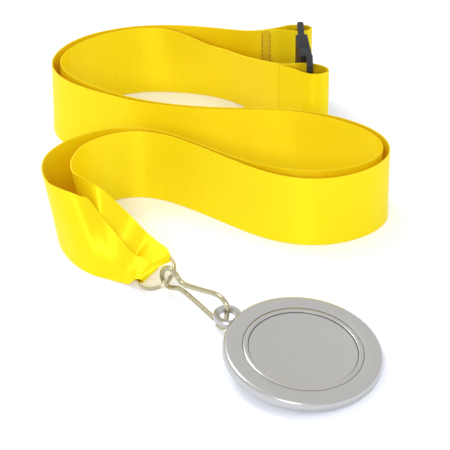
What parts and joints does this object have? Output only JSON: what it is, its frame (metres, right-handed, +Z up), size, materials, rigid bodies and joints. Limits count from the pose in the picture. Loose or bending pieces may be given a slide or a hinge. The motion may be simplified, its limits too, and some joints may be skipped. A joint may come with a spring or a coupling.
{
  "type": "award medal",
  "caption": "Round blank award medal with a raised bead, hanging by a wire hook and split ring from a folded satin neck ribbon with a breakaway clip",
  "frame": {"origin": "middle of the footprint, on the table", "axes": "+X right as pictured, +Y away from the camera along the object's longest side, +Z up from the table, the shortest side"},
  "size_m": [0.1092, 0.1736, 0.0301],
  "materials": {
    "ribbon_satin": "glossy yellow satin, fine weft",
    "clip_plastic": "dark charcoal, slightly glossy",
    "wire_nickel": "warm nickel-plated wire",
    "medal_plate": "polished silver plate on a zinc casting",
    "thread": "yellow polyester thread"
  },
  "bodies": {
    "ribbon": {"ribbon_back_strand": "ribbon_satin", "ribbon_front_strand": "ribbon_satin", "clip_socket": "clip_plastic", "loop_stitching": "thread"},
    "clip_plug_half": {"clip_plug": "clip_plastic", "ribbon_plug_loop": "ribbon_satin"},
    "ring_fold": {"ribbon_ring_fold": "ribbon_satin"},
    "ring": {"split_ring": "wire_nickel"},
    "hook": {"hook": "wire_nickel"},
    "gate": {"hook_gate": "wire_nickel"},
    "medal": {"medal_disc": "medal_plate"}
  },
  "joints": [
    {"name": "clip_release", "type": "slide", "parent": "ribbon", "child": "clip_plug_half", "axis": [0.1022, -0.9948, 0], "range_m": [0, 0.009]},
    {"name": "join_flex", "type": "hinge", "parent": "ribbon", "child": "ring_fold", "pos_m": [-0.02563, -0.01493, 0.00502], "axis": [0.6602, 0.58, 0.4772], "range_deg": [-8, 14]},
    {"name": "ring_turn", "type": "hinge", "parent": "ring_fold", "child": "ring", "pos_m": [-0.01863, -0.02289, 0.00517], "axis": [-0.3923, -0.2413, 0.8876], "range_deg": [-22, 22]},
    {"name": "hook_swing", "type": "hinge", "parent": "ring", "child": "hook", "pos_m": [-0.0143, -0.02784, 0.00672], "axis": [0.7604, 0.6494, 0], "range_deg": [-30, 30]},
    {"name": "gate_press", "type": "hinge", "parent": "hook", "child": "gate", "pos_m": [-0.0118, -0.03076, 0.00492], "axis": [0.7604, 0.6494, 0], "range_deg": [0, 14], "stiffness_Nm_per_rad": 0.05},
    {"name": "medal_swing", "type": "hinge", "parent": "hook", "child": "medal", "pos_m": [0.00129, -0.04609, 0.00833], "axis": [0.7604, 0.6494, 0], "range_deg": [-30, 30]}
  ]
}
